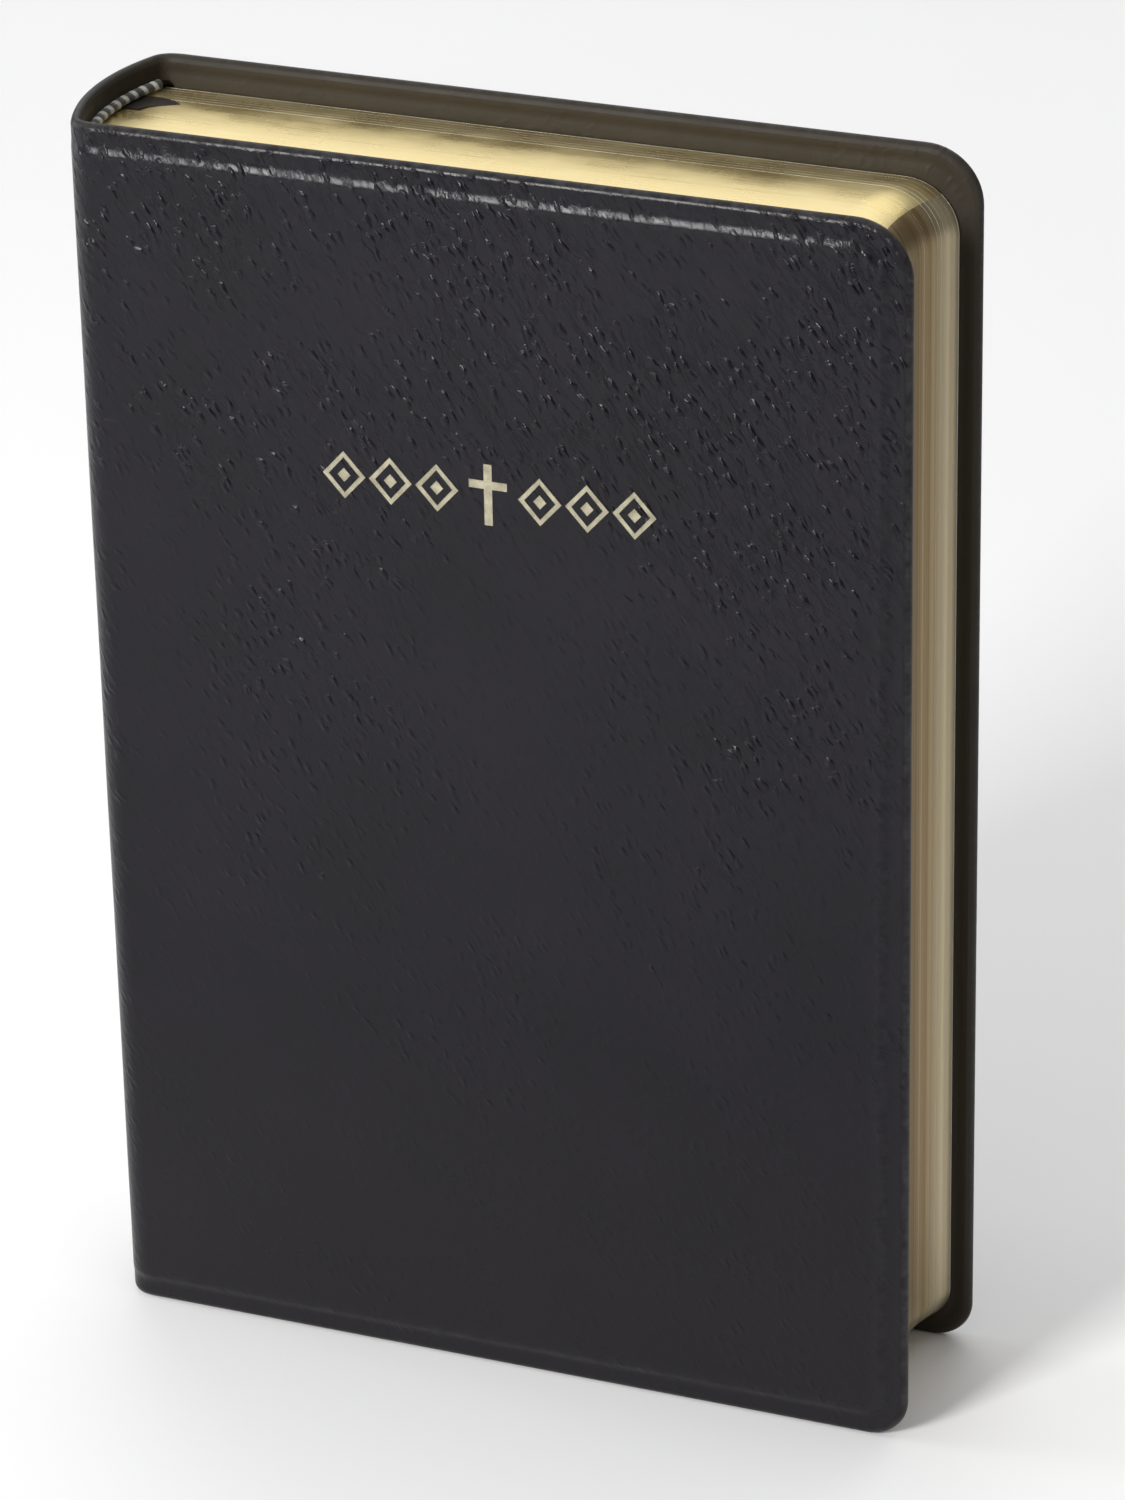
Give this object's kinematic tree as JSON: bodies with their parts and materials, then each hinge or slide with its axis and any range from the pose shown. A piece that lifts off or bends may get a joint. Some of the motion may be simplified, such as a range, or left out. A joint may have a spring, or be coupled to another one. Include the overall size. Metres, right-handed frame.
{
  "type": "bible",
  "caption": "Closed leather-bound bible standing upright, with soft hems, rounded corners, gilt edges, ribbon marker and covers that open with a fan of leaves.",
  "frame": {"origin": "middle of the footprint, on the surface the book stands on (its tail)", "axes": "+X from the spine to the fore-edge, +Y from the front cover to the back cover, +Z from tail to head"},
  "size_m": [0.145, 0.037, 0.215],
  "materials": {
    "black_leather": "soft semi-gloss pebble grain",
    "board": "matt grey-brown card",
    "endpaper": "matt cream paper",
    "gilt_leaves": "thin white bible paper with burnished gilt edges",
    "foil": "pale gold stamping foil",
    "kraft_lining": "matt kraft paper",
    "mull": "open starched cotton weave",
    "thread": "waxed linen thread",
    "band_cloth": "woven cotton, black and white stripes",
    "ribbon": "satin ribbon"
  },
  "bodies": {
    "root": {"spine_leather": "black_leather", "spine_inlay": "board", "spine_lining": "kraft_lining", "mull_cloth": "mull", "sewing_thread": "thread", "headband": "band_cloth", "tailband": "band_cloth", "ribbon_marker": "ribbon", "front_sewn_folds": "gilt_leaves", "back_sewn_folds": "gilt_leaves", "middle_section_1": "gilt_leaves", "middle_section_2": "gilt_leaves", "middle_section_3": "gilt_leaves", "middle_section_4": "gilt_leaves", "middle_section_5": "gilt_leaves", "middle_section_6": "gilt_leaves", "middle_section_7": "gilt_leaves", "middle_section_8": "gilt_leaves", "middle_section_9": "gilt_leaves", "middle_section_10": "gilt_leaves", "middle_section_11": "gilt_leaves", "middle_section_12": "gilt_leaves", "middle_section_13": "gilt_leaves", "middle_section_14": "gilt_leaves", "middle_section_15": "gilt_leaves", "middle_section_16": "gilt_leaves", "middle_section_17": "gilt_leaves", "middle_section_18": "gilt_leaves", "middle_section_19": "gilt_leaves", "middle_section_20": "gilt_leaves"},
    "front_cover": {"front_leather": "black_leather", "front_board": "board", "front_pastedown": "endpaper", "front_ornament": "foil"},
    "front_endleaf": {"front_flyleaf": "endpaper"},
    "front_leaves_1": {"front_section_1": "gilt_leaves"},
    "front_leaves_2": {"front_section_2": "gilt_leaves"},
    "front_leaves_3": {"front_section_3": "gilt_leaves"},
    "front_leaves_4": {"front_section_4": "gilt_leaves"},
    "front_leaves_5": {"front_section_5": "gilt_leaves"},
    "back_cover": {"back_leather": "black_leather", "back_board": "board", "back_pastedown": "endpaper"},
    "back_endleaf": {"back_flyleaf": "endpaper"},
    "back_leaves_1": {"back_section_1": "gilt_leaves"},
    "back_leaves_2": {"back_section_2": "gilt_leaves"},
    "back_leaves_3": {"back_section_3": "gilt_leaves"},
    "back_leaves_4": {"back_section_4": "gilt_leaves"},
    "back_leaves_5": {"back_section_5": "gilt_leaves"}
  },
  "joints": [
    {"name": "front_cover_hinge", "type": "hinge", "parent": "root", "child": "front_cover", "pos_m": [-0.068, -0.0185, 0.1075], "axis": [0, 0, -1], "range_deg": [0, 180]},
    {"name": "front_endleaf_turn", "type": "hinge", "parent": "root", "child": "front_endleaf", "pos_m": [-0.061, -0.0155, 0.1075], "axis": [0, 0, -1], "range_deg": [0, 135]},
    {"name": "front_leaves_1_turn", "type": "hinge", "parent": "root", "child": "front_leaves_1", "pos_m": [-0.061, -0.0152, 0.1075], "axis": [0, 0, -1], "range_deg": [0, 108]},
    {"name": "front_leaves_2_turn", "type": "hinge", "parent": "root", "child": "front_leaves_2", "pos_m": [-0.061, -0.0142, 0.1075], "axis": [0, 0, -1], "range_deg": [0, 81]},
    {"name": "front_leaves_3_turn", "type": "hinge", "parent": "root", "child": "front_leaves_3", "pos_m": [-0.061, -0.0132, 0.1075], "axis": [0, 0, -1], "range_deg": [0, 54]},
    {"name": "front_leaves_4_turn", "type": "hinge", "parent": "root", "child": "front_leaves_4", "pos_m": [-0.061, -0.0122, 0.1075], "axis": [0, 0, -1], "range_deg": [0, 36]},
    {"name": "front_leaves_5_turn", "type": "hinge", "parent": "root", "child": "front_leaves_5", "pos_m": [-0.061, -0.0112, 0.1075], "axis": [0, 0, -1], "range_deg": [0, 18]},
    {"name": "back_cover_hinge", "type": "hinge", "parent": "root", "child": "back_cover", "pos_m": [-0.068, 0.0185, 0.1075], "axis": [0, 0, 1], "range_deg": [0, 180]},
    {"name": "back_endleaf_turn", "type": "hinge", "parent": "root", "child": "back_endleaf", "pos_m": [-0.061, 0.0155, 0.1075], "axis": [0, 0, 1], "range_deg": [0, 135]},
    {"name": "back_leaves_1_turn", "type": "hinge", "parent": "root", "child": "back_leaves_1", "pos_m": [-0.061, 0.0152, 0.1075], "axis": [0, 0, 1], "range_deg": [0, 108]},
    {"name": "back_leaves_2_turn", "type": "hinge", "parent": "root", "child": "back_leaves_2", "pos_m": [-0.061, 0.0142, 0.1075], "axis": [0, 0, 1], "range_deg": [0, 81]},
    {"name": "back_leaves_3_turn", "type": "hinge", "parent": "root", "child": "back_leaves_3", "pos_m": [-0.061, 0.0132, 0.1075], "axis": [0, 0, 1], "range_deg": [0, 54]},
    {"name": "back_leaves_4_turn", "type": "hinge", "parent": "root", "child": "back_leaves_4", "pos_m": [-0.061, 0.0122, 0.1075], "axis": [0, 0, 1], "range_deg": [0, 36]},
    {"name": "back_leaves_5_turn", "type": "hinge", "parent": "root", "child": "back_leaves_5", "pos_m": [-0.061, 0.0112, 0.1075], "axis": [0, 0, 1], "range_deg": [0, 18]}
  ],
  "couplings": [
    {"joint": "front_endleaf_turn", "follows": "front_cover_hinge", "ratio": 0.75},
    {"joint": "front_leaves_1_turn", "follows": "front_cover_hinge", "ratio": 0.6},
    {"joint": "front_leaves_2_turn", "follows": "front_cover_hinge", "ratio": 0.45},
    {"joint": "front_leaves_3_turn", "follows": "front_cover_hinge", "ratio": 0.3},
    {"joint": "front_leaves_4_turn", "follows": "front_cover_hinge", "ratio": 0.2},
    {"joint": "front_leaves_5_turn", "follows": "front_cover_hinge", "ratio": 0.1},
    {"joint": "back_endleaf_turn", "follows": "back_cover_hinge", "ratio": 0.75},
    {"joint": "back_leaves_1_turn", "follows": "back_cover_hinge", "ratio": 0.6},
    {"joint": "back_leaves_2_turn", "follows": "back_cover_hinge", "ratio": 0.45},
    {"joint": "back_leaves_3_turn", "follows": "back_cover_hinge", "ratio": 0.3},
    {"joint": "back_leaves_4_turn", "follows": "back_cover_hinge", "ratio": 0.2},
    {"joint": "back_leaves_5_turn", "follows": "back_cover_hinge", "ratio": 0.1}
  ]
}
